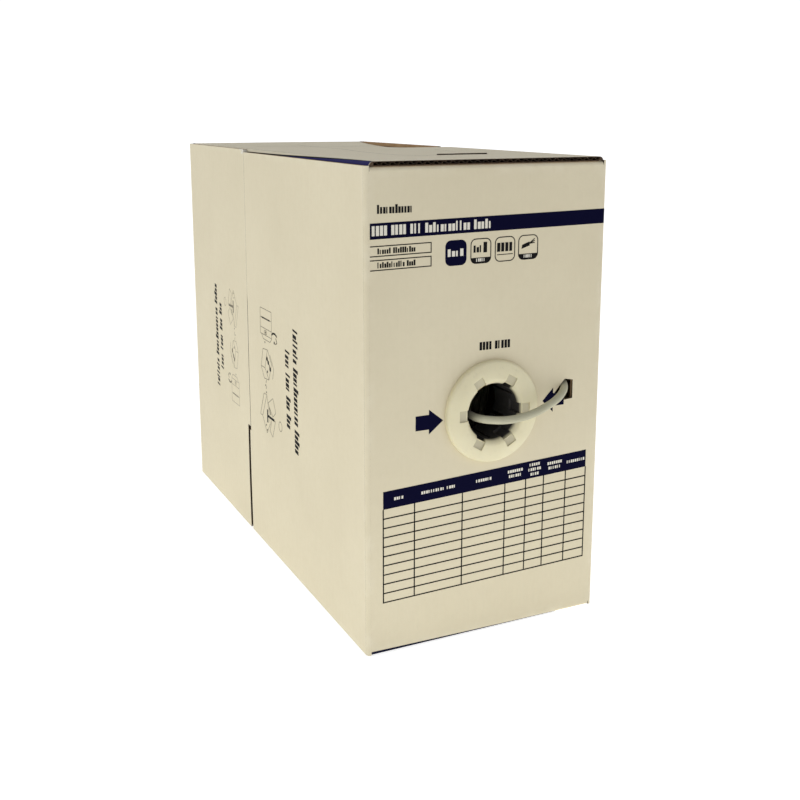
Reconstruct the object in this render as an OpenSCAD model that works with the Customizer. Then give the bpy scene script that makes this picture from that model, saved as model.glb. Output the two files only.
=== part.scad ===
// Carton for network cable with a turning reel inside. The cable leaves through a
// plastic collar in the narrow front face. The carton is a tube of four walls round
// the X axis, closed on its left and right sides by two outer and two inner flaps.
// +X to the right seen from the front, +Y to the rear, +Z up, millimetres.
// The origin is on the floor, under the middle of the box with its collar.

/* [Carton] */
// Outer width, over both closed sides
carton_w = 210; // [206:1:230]
// Outer depth, front face to rear face
carton_d = 480; // [470:1:520]
// Outer height
carton_h = 380; // [376:1:420]
// Thickness of the corrugated board
board_t = 3.5; // [3:0.1:4]
// Depth of the upper side seam behind the front face
seam_depth = 281; // [260:1:300]
// Height of the seam's jog above the floor
seam_jog_z = 105; // [80:1:130]
// How far the lower seam lies behind the upper one
seam_jog_y = 3; // [2:0.5:6]
// Distance of the slit in the top behind the front edge
top_slit_y = 75; // [60:1:90]

/* [Collar] */
// Centre of the collar, to the right of the middle
collar_x = 2; // [-10:1:10]
// Height of the collar's centre
collar_z = 185; // [170:1:200]
// Outer radius of the flange
collar_r = 41; // [38:0.5:45]
// How far the flange stands out of the front face
collar_proud = 7; // [6:0.5:8]
// Radius of the bore that the cable passes
bore_r = 22.5; // [22:0.1:23]
// Length of the neck behind the front face
neck_len = 32; // [24:1:40]

/* [Reel] */
// Radius of the reel's flanges
flange_r = 170; // [162:1:175]
// Thickness of each flange
flange_t = 4; // [3:0.5:4]
// Distance between the flanges
reel_inner_w = 168; // [160:1:168]
// Radius of the cable winding
winding_r = 159; // [120:1:159]
// Outer radius of the core tube
core_r = 55; // [52:1:60]
// Radius of the fixed axle tube
axle_r = 15; // [14:0.5:16]

/* [Cable] */
// Diameter of the cable
cable_d = 6.2; // [5:0.1:7]

/* [Hidden] */
$fn = 96;

gap = 0.3;
half_w = carton_w / 2;
front_y = -(carton_d + collar_proud) / 2 + collar_proud;
rear_y = front_y + carton_d;
wall_x = half_w - board_t - gap;         // ends of the four walls, inside the outer flaps
inner_flap_x = wall_x - board_t;         // inner face of the inner flaps
insert_x = inner_flap_x - gap - board_t; // inner face of the inserts

seam_y = front_y + seam_depth;
seam_gap = 1.2;
slot_gap = 6;
notch_h = 4;
flap_foot_z = 0.6;                       // the outer flaps hang just clear of the floor
front_flap_top_z = carton_h - 3;         // the front flaps stop short of the top
rear_flap_top_z = carton_h - 0.4;
inner_flap_end_z = seam_jog_z - 1;       // where the upper and lower inner flaps meet
relief_w = 24;                           // slot in the lower inner flap, behind the seam

slit_x = 16;                             // middle of the slit in the top
slit_len = 47;
slit_gap = 3;

tab_len = 34;
tab_inset = 7;
top_edge_setback = 0.8;                  // raw edge of the top behind the front face

hole_r = 26;
tuck_x = 70;
tuck_z = 193.5;
tuck_outline = [[-9, -1], [0.5, 9.5], [8.3, 8], [8.3, -7.5], [-7, -8.5]];

bell_r = 5;
rim_r = 3;
crown_drop = 1.8;
neck_wall = 2.5;
window_w = 9;
window_r = 31;
slit_w = 2.6;
slit_root = 7;
barb_w = 8;
barb_out = 3;
barb_len = 6;
fingers = 6;

reel_y = rear_y - board_t - flange_r - 15;
reel_z = carton_h / 2;
flange_x = reel_inner_w / 2;
hub_x = flange_x + flange_t;
hub_r = 30;
hub_flange_r = 36;
hub_flange_t = 3.5;
hub_len = 28;
core_wall = 3;
running_fit = 0.06;
washer_t = 1.5;
washer_r = 25;
axle_wall = 2.5;
rod_r = 3;
rod_circle_r = 44;
rods = 4;
nut_r = 5.8;
nut_t = 3;

tail_sides = 12;
// Centreline of the free cable: off the top of the winding, down to the neck,
// out over the collar's right half and back in through the tuck hole
tail_route = [
  [-26, -48, 316], [-25, -64, 303], [-24, -80, 290], [-23, -96, 277],
  [-22, -112, 264], [-21, -128, 251], [-20, -144, 238], [-18.5, -160, 225.5],
  [-17, -175, 214], [-16, -189, 204], [-15.5, -201, 196], [-15.5, -212, 189],
  [-15.8, -222, 185], [-14.8, -232, 182.5], [-11, -241, 181.3], [-4, -248.3, 181],
  [6, -253.2, 181], [18, -255, 182], [30, -254.8, 184], [42, -252.8, 187],
  [53, -249.4, 190], [62, -244.5, 193], [68.8, -238.2, 195.7], [73.3, -230.5, 198],
  [76, -221.5, 200], [77.5, -212, 201.5]
];

function arc(cx, cy, r, from, to, steps) =
  [for (i = [0:steps]) let (a = from + (to - from) * i / steps) [cx + r * cos(a), cy + r * sin(a)]];

function unit(v) = v / norm(v);

// Heading of a route at point i
function heading(route, i) =
  unit(route[min(i + 1, len(route) - 1)] - route[max(i - 1, 0)]);

// One ring of points round a route at point i
function ring(route, i, r, sides) =
  let (h = heading(route, i), u = unit(cross(h, [0, 0, 1])), v = cross(h, u))
  [for (k = [0:sides - 1]) route[i] + r * (cos(360 * k / sides) * u + sin(360 * k / sides) * v)];

// A box between two corners
module block(low, high) {
  translate(low) cube(high - low);
}

// What a board's rounded fold leaves of a square edge along Z: the edge is at the
// origin and the board fills +X, +Y
module fold_waste(length) {
  translate([0, 0, -1]) linear_extrude(length + 2) difference() {
    translate([-1, -1]) square(board_t + 1);
    translate([board_t, board_t]) circle(board_t);
  }
}

// The same along X, with the board in +Y, +Z
module fold_waste_x(length) {
  rotate([90, 0, 90]) fold_waste(length);
}

// The same along Y, with the board in +X, -Z
module fold_waste_y(length) {
  rotate([-90, 0, 0]) fold_waste(length);
}

module tube(outer_r, inner_r, length) {
  difference() {
    cylinder(h = length, r = outer_r);
    translate([0, 0, -1]) cylinder(h = length + 2, r = inner_r);
  }
}

// Children are drawn along +Z and laid on the reel's axis, from x to the right
module on_axis(x) {
  translate([x, reel_y, reel_z]) rotate([0, 90, 0]) children();
}

module front_panel() {
  color("#e6dfcc") difference() {
    block([-wall_x, front_y, board_t], [wall_x, front_y + board_t, carton_h - board_t]);
    translate([-wall_x, front_y, carton_h - board_t]) mirror([0, 0, 1]) fold_waste_x(2 * wall_x);
    translate([collar_x, front_y - 1, collar_z]) rotate([-90, 0, 0]) cylinder(h = board_t + 2, r = hole_r);
    translate([tuck_x, front_y + board_t + 1, tuck_z]) rotate([90, 0, 0]) linear_extrude(board_t + 2)
      polygon(tuck_outline);
  }
}

module rear_panel() {
  color("#e6dfcc") block([-wall_x, rear_y - board_t, board_t], [wall_x, rear_y, carton_h - board_t]);
}

module top_panel() {
  edge_y = front_y + top_edge_setback;
  color("#e6dfcc") difference() {
    block([-wall_x, edge_y, carton_h - board_t], [wall_x, rear_y, carton_h]);
    for (side = [0, 1]) mirror([side, 0, 0]) translate([-wall_x, edge_y, carton_h]) fold_waste_y(carton_d);
    translate([-wall_x, rear_y, carton_h]) mirror([0, 1, 0]) mirror([0, 0, 1]) fold_waste_x(2 * wall_x);
    translate([slit_x, front_y + top_slit_y, carton_h]) cube([slit_len, slit_gap, 4 * board_t], center = true);
  }
}

module bottom_panel() {
  color("#e6dfcc") difference() {
    block([-wall_x, front_y, 0], [wall_x, rear_y, board_t]);
    translate([-wall_x, front_y, 0]) fold_waste_x(2 * wall_x);
    translate([-wall_x, rear_y, 0]) mirror([0, 1, 0]) fold_waste_x(2 * wall_x);
    for (side = [0, 1]) mirror([side, 0, 0]) translate([-wall_x, front_y, 0]) mirror([0, 0, 1]) fold_waste_y(carton_d);
  }
}

module glue_tab() {
  low_z = carton_h - 2 * board_t;
  color("#b58a5a") block(
    [-wall_x + tab_inset, front_y + board_t, low_z],
    [wall_x - tab_inset, front_y + board_t + tab_len, low_z + board_t]);
}

// An outer flap folded off the front wall, on the left side
module front_flap() {
  y = seam_y - front_y;
  outline = [
    [0, flap_foot_z], [y + seam_jog_y, flap_foot_z], [y + seam_jog_y, seam_jog_z],
    [y, seam_jog_z], [y, front_flap_top_z], [0, front_flap_top_z]
  ];
  difference() {
    translate([-half_w, front_y, 0]) rotate([90, 0, 90]) linear_extrude(board_t) polygon(outline);
    translate([-half_w, front_y, 0]) fold_waste(carton_h);
  }
}

// An outer flap folded off the rear wall, on the left side
module rear_flap() {
  upper_y = seam_y + seam_gap;
  lower_y = seam_y + seam_jog_y + slot_gap;
  step_z = seam_jog_z + notch_h;
  outline = [
    [rear_y, flap_foot_z], [rear_y, rear_flap_top_z], [upper_y, rear_flap_top_z],
    [upper_y, step_z], [lower_y, step_z], [lower_y, flap_foot_z]
  ];
  difference() {
    translate([-half_w, 0, 0]) rotate([90, 0, 90]) linear_extrude(board_t) polygon(outline);
    translate([-half_w, rear_y, 0]) mirror([0, 1, 0]) fold_waste(carton_h);
  }
}

// The inner flap folded off the top, on the left side
module upper_inner_flap() {
  block([-wall_x, front_y + board_t + gap, inner_flap_end_z + gap],
    [-inner_flap_x, rear_y - board_t - gap, carton_h - board_t]);
}

// The inner flap folded off the bottom, with a relief slot behind the seam
module lower_inner_flap() {
  difference() {
    block([-wall_x, front_y + board_t + gap, board_t],
      [-inner_flap_x, rear_y - board_t - gap, inner_flap_end_z]);
    block([-half_w, seam_y + seam_jog_y - relief_w / 2, 4 * board_t],
      [0, seam_y + seam_jog_y + relief_w / 2, carton_h]);
  }
}

module left_front_flap() { color("#ded3b6") front_flap(); }
module left_rear_flap() { color("#ded3b6") rear_flap(); }
module left_top_flap() { color("#c9bb98") upper_inner_flap(); }
module left_bottom_flap() { color("#c9bb98") lower_inner_flap(); }
module right_front_flap() { color("#ded3b6") mirror([1, 0, 0]) front_flap(); }
module right_rear_flap() { color("#ded3b6") mirror([1, 0, 0]) rear_flap(); }
module right_top_flap() { color("#c9bb98") mirror([1, 0, 0]) upper_inner_flap(); }
module right_bottom_flap() { color("#c9bb98") mirror([1, 0, 0]) lower_inner_flap(); }

// Flange, bell mouth and neck, turned about +Z with the face outwards
module collar_body() {
  neck_r = bore_r + neck_wall;
  rim_z = collar_proud - crown_drop;
  rotate_extrude() polygon(concat(
    [[bore_r, -neck_len]],
    arc(bore_r + bell_r, collar_proud - bell_r, bell_r, 180, 90, 8),
    arc(collar_r - rim_r, rim_z - rim_r, rim_r, 80, 0, 6),
    [[collar_r, 0], [neck_r, 0], [neck_r, -neck_len]]));
}

// Barbs that grip the back of the board, one on each finger
module collar_barbs() {
  neck_r = bore_r + neck_wall;
  top_z = -board_t - 0.4;
  intersection() {
    rotate_extrude() polygon([
      [neck_r - 1, top_z], [neck_r + barb_out, top_z],
      [neck_r + barb_out, top_z - 1], [neck_r - 1, top_z - barb_len]]);
    for (a = [0:360 / fingers:359]) rotate(a)
      translate([0, -barb_w / 2, -neck_len]) cube([2 * neck_r, barb_w, neck_len]);
  }
}

module payout_collar() {
  color("#e9e2c4") translate([collar_x, front_y, collar_z]) rotate([90, 0, 0]) difference() {
    union() {
      collar_body();
      collar_barbs();
    }
    for (a = [0:360 / fingers:359]) {
      rotate(a) translate([bore_r - 2, -window_w / 2, -0.5])
        cube([window_r - bore_r + 2, window_w, collar_proud + 2]);
      rotate(a + 180 / fingers) translate([bore_r - 2, -slit_w / 2, -neck_len - 1])
        cube([neck_wall + 4, slit_w, neck_len + 1 - slit_root]);
    }
  }
}

// Board that lines one side from wall to wall and carries the axle, on the left
module insert() {
  difference() {
    block([-insert_x - board_t, front_y + board_t + gap, board_t + gap],
      [-insert_x, rear_y - board_t - gap, carton_h - 2 * board_t - gap]);
    on_axis(-half_w) cylinder(h = half_w, r = axle_r + running_fit);
  }
}

module insert_left() { color("#b08a5e") insert(); }
module insert_right() { color("#b08a5e") mirror([1, 0, 0]) insert(); }

module axle_tube() {
  reach = insert_x + board_t;
  color("#9a7b55") on_axis(-reach) tube(axle_r, axle_r - axle_wall, 2 * reach);
}

module axle_washer_left() {
  color("#d8d8d4") on_axis(-insert_x) tube(washer_r, axle_r + running_fit, washer_t);
}

module axle_washer_right() {
  color("#d8d8d4") on_axis(insert_x - washer_t) tube(washer_r, axle_r + running_fit, washer_t);
}

module reel_flange() {
  difference() {
    tube(flange_r, hub_r + running_fit, flange_t);
    at_rods() translate([0, 0, -1]) cylinder(h = flange_t + 2, r = rod_r + 0.2);
  }
}

module at_rods() {
  for (a = [0:360 / rods:359]) rotate(a + 45) translate([rod_circle_r, 0, 0]) children();
}

module reel_flange_left() { color("#a98458") on_axis(-hub_x) reel_flange(); }
module reel_flange_right() { color("#a98458") on_axis(flange_x) reel_flange(); }

module reel_core() {
  color("#b79365") on_axis(-flange_x) tube(core_r, core_r - core_wall, reel_inner_w);
}

// Flanged bush, flange outwards at x = 0 and body towards +Z
module hub_bush() {
  difference() {
    union() {
      cylinder(h = hub_len + hub_flange_t, r = hub_r);
      cylinder(h = hub_flange_t, r = hub_flange_r);
    }
    translate([0, 0, -1]) cylinder(h = hub_len + hub_flange_t + 2, r = axle_r + running_fit);
  }
}

module hub_bush_left() {
  color("#2e2f33") on_axis(-hub_x - hub_flange_t) hub_bush();
}

module hub_bush_right() {
  color("#2e2f33") on_axis(hub_x + hub_flange_t) mirror([0, 0, 1]) hub_bush();
}

module tie_rods() {
  reach = hub_x + nut_t + 0.4;
  color("silver") on_axis(-reach) at_rods() cylinder(h = 2 * reach, r = rod_r);
}

module tie_nuts() {
  at_rods() difference() {
    cylinder(h = nut_t, r = nut_r, $fn = 6);
    translate([0, 0, -1]) cylinder(h = nut_t + 2, r = rod_r + 0.05, $fn = 48);
  }
}

module tie_nuts_left() { color("silver") on_axis(-hub_x - nut_t) tie_nuts(); }
module tie_nuts_right() { color("silver") on_axis(hub_x) tie_nuts(); }

module cable_winding() {
  side_gap = 0.4;
  color("#d9dcc9") on_axis(-flange_x + side_gap)
    tube(winding_r, core_r + 0.2, reel_inner_w - 2 * side_gap);
}

module cable_tail() {
  last = len(tail_route) - 1;
  n = tail_sides;
  rings = [for (i = [0:last]) each ring(tail_route, i, cable_d / 2, n)];
  start_cap = [[for (k = [0:n - 1]) k]];
  end_cap = [[for (k = [n - 1:-1:0]) last * n + k]];
  sides = [for (i = [0:last - 1], k = [0:n - 1])
    [i * n + k, (i + 1) * n + k, (i + 1) * n + (k + 1) % n, i * n + (k + 1) % n]];
  color("#d9dcc9") polyhedron(points = rings, faces = concat(start_cap, sides, end_cap));
}

front_panel();
rear_panel();
top_panel();
bottom_panel();
glue_tab();
left_front_flap();
left_rear_flap();
left_top_flap();
left_bottom_flap();
right_front_flap();
right_rear_flap();
right_top_flap();
right_bottom_flap();
payout_collar();
insert_left();
insert_right();
axle_tube();
axle_washer_left();
axle_washer_right();
reel_flange_left();
reel_flange_right();
reel_core();
hub_bush_left();
hub_bush_right();
tie_rods();
tie_nuts_left();
tie_nuts_right();
cable_winding();
cable_tail();
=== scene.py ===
"""Looks for the cable spool box: printed corrugated boards, pay-out collar, cable, reel."""

import math
import random
from collections import namedtuple

import bmesh
import bpy
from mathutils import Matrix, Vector, noise


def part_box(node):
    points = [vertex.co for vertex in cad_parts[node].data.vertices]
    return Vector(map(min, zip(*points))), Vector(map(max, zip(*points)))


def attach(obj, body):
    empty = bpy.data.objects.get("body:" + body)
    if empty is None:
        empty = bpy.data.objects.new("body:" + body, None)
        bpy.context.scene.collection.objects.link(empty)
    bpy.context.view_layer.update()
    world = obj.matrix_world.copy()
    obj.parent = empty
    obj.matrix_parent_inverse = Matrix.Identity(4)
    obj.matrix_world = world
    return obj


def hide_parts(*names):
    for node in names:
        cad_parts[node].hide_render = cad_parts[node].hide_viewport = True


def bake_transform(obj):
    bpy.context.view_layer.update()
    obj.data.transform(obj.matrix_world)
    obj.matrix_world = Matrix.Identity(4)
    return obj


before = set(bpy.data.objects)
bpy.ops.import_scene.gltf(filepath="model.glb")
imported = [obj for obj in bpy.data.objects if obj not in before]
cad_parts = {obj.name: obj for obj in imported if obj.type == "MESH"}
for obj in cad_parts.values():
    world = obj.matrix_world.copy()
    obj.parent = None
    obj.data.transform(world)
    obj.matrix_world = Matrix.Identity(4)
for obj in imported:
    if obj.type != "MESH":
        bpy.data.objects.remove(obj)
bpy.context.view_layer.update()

MM = 0.001
X, Y, Z = Vector((1, 0, 0)), Vector((0, 1, 0)), Vector((0, 0, 1))

# ---- measures from the frame

FRONT_LO, FRONT_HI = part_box("front_panel")
TOP_LO, TOP_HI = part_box("top_panel")
BOARD_T = FRONT_HI.y - FRONT_LO.y
FRONT_Y = FRONT_LO.y
REAR_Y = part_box("rear_panel")[1].y
WALL_X = FRONT_HI.x
HALF_W = -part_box("left_front_flap")[0].x
BOX_H = TOP_HI.z
COLLAR_LO, COLLAR_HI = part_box("payout_collar")
COLLAR_AT = Vector(((COLLAR_LO.x + COLLAR_HI.x) / 2, FRONT_Y, (COLLAR_LO.z + COLLAR_HI.z) / 2))
THROAT_R = 27 * MM
NECK_LEN = COLLAR_HI.y - FRONT_Y

LINER_T = 0.45 * MM
MEDIUM_T = 0.25 * MM
FLUTE_PITCH = 7 * MM
FLUTE_STEPS = 8
GLUE_GAP = 0.03 * MM
CELL = 10 * MM
UV_SCALE = 10
INK = 0.09 * MM
UNDER = 0.03 * MM

# The collar, in millimetres from its axis and out from the front face.
# SHELF and NOTCH are each window's two cuts: from radius, to radius, floor.
BORE_R, COLLAR_R, NECK_R, PROUD = 22.5, 41.0, 25.0, 7.0
BELL_R, RIM_R, CROWN = 5.0, 3.0, 5.2
WINDOW_W, SHELF, NOTCH = 9.0, (20.0, 31.5, 5.7), (20.0, 24.4, -10.0)
SLIT_W, SLIT_ROOT = 2.6, 1.5
FINGERS = 6


def turn(start, end, angle):
    """The way that start points in once it has turned towards end by an angle in radians."""
    return start * math.cos(angle) + end * math.sin(angle)


def new_object(name, data):
    made = bpy.data.objects.new(name, data)
    bpy.context.scene.collection.objects.link(made)
    return made


# ---- camera


def make_camera():
    data = bpy.data.cameras.new("camera")
    data.lens = 47.5
    data.sensor_width = 36
    data.shift_y = -0.1
    camera = new_object("camera", data)
    camera.location = (-0.408, -0.924, 0.415)
    camera.rotation_euler = (math.radians(90 - 11.2), 0, math.radians(-25.7))
    bpy.context.scene.camera = camera


# ---- materials


class Nodes:
    """A node tree being built: add() makes nodes and joins them to what they take."""

    def __init__(self, tree):
        self.nodes = tree.nodes
        self.links = tree.links

    def add(self, kind, settings=None, **inputs):
        made = self.nodes.new("ShaderNode" + kind)
        for key, value in (settings or {}).items():
            setattr(made, key, value)
        for key, value in inputs.items():
            socket = made.inputs[int(key[1:])] if key[1:].isdigit() else made.inputs[key.replace("_", " ")]
            if isinstance(value, bpy.types.NodeSocket):
                self.links.new(value, socket)
            else:
                socket.default_value = value
        return made

    def math(self, operation, a, b=0.0):
        return self.add("Math", {"operation": operation}, i0=a, i1=b).outputs[0]

    def times(self, a, b):
        return self.math("MULTIPLY", a, b)

    def noise(self, where, scale, detail=4.0, roughness=0.55):
        made = self.add("TexNoise", Vector=where, Scale=scale, Detail=detail, Roughness=roughness)
        return made.outputs["Fac"]

    def remap(self, value, low, high, to_low=0.0, to_high=1.0):
        ends = {"From_Min": low, "From_Max": high, "To_Min": to_low, "To_Max": to_high}
        return self.add("MapRange", Value=value, **ends).outputs["Result"]

    def mix(self, fac, a, b):
        a, b = (end if isinstance(end, bpy.types.NodeSocket) else (*end, 1) for end in (a, b))
        return self.add("Mix", {"data_type": "RGBA"}, i0=fac, i6=a, i7=b).outputs[2]

    def where(self, kind="Object"):
        return self.add("TexCoord").outputs[kind]

    def scaled(self, where, factors):
        return self.add("Mapping", Vector=where, Scale=factors).outputs[0]

    def part(self, where, axis):
        return self.add("SeparateXYZ", Vector=where).outputs[axis]


class Shader(Nodes):
    """A material round one Principled shader."""

    def __init__(self, name, roughness, specular=0.5):
        self.material = bpy.data.materials.new(name)
        self.material.use_nodes = True
        super().__init__(self.material.node_tree)
        self.surface = self.nodes["Principled BSDF"]
        self.fix("Roughness", roughness)
        self.fix("Specular IOR Level", specular)

    def fix(self, socket, value):
        self.surface.inputs[socket].default_value = value

    def set(self, socket, value):
        self.links.new(value, self.surface.inputs[socket])

    def rough(self, fac, low, high):
        self.set("Roughness", self.remap(fac, 0.3, 0.7, low, high))

    def bump(self, height, strength, distance, below=None):
        made = self.add("Bump", Height=height, Strength=strength, Distance=distance)
        if below is not None:
            self.links.new(below, made.inputs["Normal"])
        return made.outputs["Normal"]


def paper(name, colour, dark, pale, washboard, fibre, roughness):
    """Paper liner: mottled pulp, fibres, faint flute marks, scuffed edges."""
    s = Shader(name, roughness, 0.15)
    where, flat = s.where(), s.where("UV")
    cloud = s.noise(where, 9, 3)
    mottle = s.noise(where, 160, 5, 0.7)
    fibres = s.noise(s.scaled(flat, (900, 140, 1)), 1.0, 3, 0.6)
    specks = s.noise(where, 900, 2, 0.5)
    tone = s.mix(s.remap(cloud, 0.3, 0.7, 0, 0.6), colour, dark)
    tone = s.mix(s.remap(mottle, 0.45, 0.75, 0, fibre), tone, dark)
    tone = s.mix(s.remap(fibres, 0.56, 0.72, 0, fibre), tone, pale)
    tone = s.mix(s.remap(specks, 0.7, 0.76, 0, 0.35), tone, dark)
    edge = s.add("Attribute", {"attribute_name": "edge"}).outputs["Fac"]
    rub = s.times(s.remap(edge, 0.0, 0.006, 1, 0), s.remap(s.noise(where, 70, 4), 0.42, 0.62))
    tone = s.mix(s.times(rub, 0.4), tone, pale)
    s.set("Base Color", tone)
    s.rough(mottle, roughness - 0.06, roughness + 0.08)
    wave = s.math("SINE", s.times(s.part(flat, "X"), math.tau / (FLUTE_PITCH * UV_SCALE)))
    grain = s.bump(s.math("ADD", mottle, fibres), 0.25, 0.0002)
    dents = s.bump(s.noise(where, 22, 2), 0.35, 0.003, grain)
    s.set("Normal", s.bump(wave, washboard, 0.0002, dents))
    return s.material


def ink(name, colour, worn, wear=0.35):
    """Printing ink that lets a little of the paper's mottle through."""
    s = Shader(name, 0.6, 0.03)
    where = s.where()
    fine = s.noise(where, 700, 4, 0.7)
    cloud = s.noise(where, 30, 3)
    tone = s.mix(s.remap(fine, 0.55, 0.8, 0, wear), colour, worn)
    tone = s.mix(s.remap(cloud, 0.4, 0.8, 0, wear / 2), tone, worn)
    s.set("Base Color", tone)
    s.rough(cloud, 0.5, 0.7)
    s.set("Normal", s.bump(fine, 0.15, 0.0001))
    return s.material


def collar_place(s):
    """Distance from the collar's axis, and depth behind the front face."""
    where = s.where()
    axis = (COLLAR_AT.x, 0, COLLAR_AT.z)
    apart = s.add("VectorMath", {"operation": "DISTANCE"}, i0=s.scaled(where, (1, 0, 1)), i1=axis)
    return apart.outputs["Value"], s.math("SUBTRACT", s.part(where, "Y"), FRONT_Y)


def throat_shade(s, tone, shade, start, end):
    """Paints shade into a tone down the collar's throat, darker with depth, where little light reaches."""
    radius, depth = collar_place(s)
    inside = s.remap(radius, THROAT_R - MM, THROAT_R, 1, 0)
    within = s.remap(depth, NECK_LEN, NECK_LEN + 10 * MM, 1, 0)
    deep = s.times(s.remap(depth, start, end), s.times(inside, within))
    return s.mix(deep, tone, shade)


def window_shade(s, tone, shade):
    """Paints shade onto the floors of the collar's six sunken windows."""
    radius, depth = collar_place(s)
    end, floor = SHELF[1:]
    past_bell = s.remap(radius, (NECK_R - 0.2) * MM, (NECK_R + 0.5) * MM)
    before_end = s.remap(radius, (end + 0.1) * MM, (end + 0.4) * MM, 1, 0)
    sunk = s.remap(depth, -(floor + 0.7) * MM, -(floor + 0.4) * MM)
    return s.mix(s.times(s.times(past_bell, before_end), sunk), tone, shade)


def collar_plastic():
    """Moulded cream polyolefin: soft sheen, slight flow marks, handling grime, and painted shade in its
    windows and down its throat.
    """
    s = Shader("collar_plastic", 0.42, 0.35)
    s.fix("Subsurface Weight", 0.1)
    s.fix("Subsurface Radius", (0.003, 0.0025, 0.0014))
    s.fix("Subsurface Scale", 1.0)
    where = s.where()
    cloud, fine = s.noise(where, 35, 3), s.noise(where, 420, 5, 0.65)
    tone = s.mix(s.remap(cloud, 0.35, 0.7), (0.80, 0.745, 0.51), (0.74, 0.68, 0.46))
    grime = s.times(s.remap(fine, 0.52, 0.72), s.remap(s.noise(where, 60, 2), 0.45, 0.7))
    tone = s.mix(s.times(grime, 0.25), tone, (0.42, 0.37, 0.27))
    # Painted shade: greyed window floors, and a dark throat.
    tone = window_shade(s, tone, (0.57, 0.525, 0.37))
    s.set("Base Color", throat_shade(s, tone, (0.05, 0.047, 0.043), -5 * MM, -1.5 * MM))
    s.rough(fine, 0.36, 0.5)
    s.set("Normal", s.bump(fine, 0.12, 0.0002, s.bump(cloud, 0.12, 0.0015)))
    return s.material


def cable_jacket():
    """Low-smoke cable jacket: chalky grey-green with a drawn grain and scuffs, and painted shade where it
    runs down the collar's throat.
    """
    s = Shader("cable_jacket", 0.5, 0.4)
    s.fix("Sheen Weight", 0.06)
    where = s.where()
    cloud, fine = s.noise(where, 60, 3), s.noise(where, 1500, 4, 0.7)
    tone = s.mix(s.remap(cloud, 0.35, 0.7), (0.53, 0.515, 0.37), (0.45, 0.435, 0.305))
    tone = s.mix(s.remap(fine, 0.6, 0.78, 0, 0.4), tone, (0.24, 0.235, 0.18))
    # Painted shade on the cable inside the collar's throat.
    s.set("Base Color", throat_shade(s, tone, (0.08, 0.078, 0.06), -10 * MM, 6 * MM))
    s.rough(fine, 0.44, 0.6)
    s.set("Normal", s.bump(fine, 0.2, 0.00012, s.bump(cloud, 0.15, 0.0008)))
    return s.material


def speckled(name, colour, second, scale, roughness, bump, metallic=0.0):
    """A plain two-tone material with grain, for edges and the parts inside."""
    s = Shader(name, roughness)
    s.fix("Metallic", metallic)
    where = s.where()
    coarse, fine = s.noise(where, scale / 8, 3), s.noise(where, scale, 6, 0.7)
    tone = s.mix(s.remap(coarse, 0.35, 0.65), colour, second)
    tone = s.mix(s.remap(fine, 0.5, 0.75, 0, 0.5), tone, second)
    s.set("Base Color", tone)
    s.rough(fine, roughness - 0.08, roughness + 0.1)
    s.set("Normal", s.bump(fine, bump, 0.0003))
    return s.material


def spiral_paper(name):
    """Wound paper tube: overlapping turns with darker seams."""
    s = Shader(name, 0.75)
    where = s.where()
    wave = s.add("TexWave", {"bands_direction": "DIAGONAL"}, Vector=where, Scale=9.0, Distortion=0.6)
    seam = s.remap(wave.outputs["Fac"], 0.02, 0.1, 1, 0)
    fine = s.noise(where, 500, 5, 0.7)
    tone = s.mix(s.remap(fine, 0.4, 0.7), (0.36, 0.25, 0.15), (0.28, 0.19, 0.11))
    s.set("Base Color", s.mix(s.times(seam, 0.6), tone, (0.14, 0.09, 0.05)))
    s.set("Normal", s.bump(seam, 0.4, 0.0004, s.bump(fine, 0.2, 0.0003)))
    return s.material


WHITE = paper("white_liner", (0.755, 0.685, 0.50), (0.69, 0.62, 0.445), (0.81, 0.75, 0.58), 0.22, 0.3, 0.62)
KRAFT = paper("kraft_liner", (0.42, 0.27, 0.14), (0.31, 0.19, 0.10), (0.56, 0.40, 0.24), 0.4, 0.55, 0.8)
FLUTING = speckled("fluting", (0.08, 0.048, 0.026), (0.04, 0.024, 0.014), 600, 0.85, 0.3)
# Navy print ink, also used for the painted contact shadow under the front's bottom fold.
NAVY_AND_SHADOW = ink("navy_ink_and_painted_shadow", (0.002, 0.002, 0.02), (0.007, 0.007, 0.035))
INDIGO = ink("indigo_ink", (0.022, 0.02, 0.11), (0.05, 0.05, 0.15))
# Black print ink, also used for the painted shadow line along the top's left fold.
LINE_AND_SHADOW = ink("line_ink_and_painted_shadow", (0.008, 0.008, 0.009), (0.045, 0.04, 0.033))
FAINT = ink("faint_ink", (0.20, 0.18, 0.135), (0.34, 0.31, 0.23))
# Painted shade for the top's creases, also the pale thin print of the rear left flap's drawings.
CREASE_SHADE_AND_PRINT = ink("crease_shade_and_print", (0.40, 0.36, 0.27), (0.52, 0.47, 0.35))
PALE = ink("pale_ink", (0.80, 0.77, 0.67), (0.66, 0.62, 0.52))
COLLAR = collar_plastic()
JACKET = cable_jacket()
FIBREBOARD = speckled("fibreboard", (0.30, 0.19, 0.10), (0.22, 0.135, 0.07), 420, 0.6, 0.25)
TUBE = spiral_paper("paper_tube")
BUSH = speckled("bush_plastic", (0.02, 0.02, 0.022), (0.03, 0.03, 0.032), 300, 0.42, 0.12)
NYLON = speckled("nylon", (0.72, 0.72, 0.68), (0.66, 0.66, 0.62), 300, 0.4, 0.1)
ZINC = speckled("zinc_steel", (0.62, 0.63, 0.64), (0.52, 0.53, 0.54), 500, 0.32, 0.1, 1.0)

# ---- mesh helpers


def arc(cu, cv, radius, start, end, steps):
    """Points on an arc, from start to end in degrees."""
    angles = [math.radians(start + (end - start) * k / steps) for k in range(steps + 1)]
    return [(cu + radius * math.cos(a), cv + radius * math.sin(a)) for a in angles]


def circle(cu, cv, radius, count=72):
    return arc(cu, cv, radius, 0, 360, count)[:-1]


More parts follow.
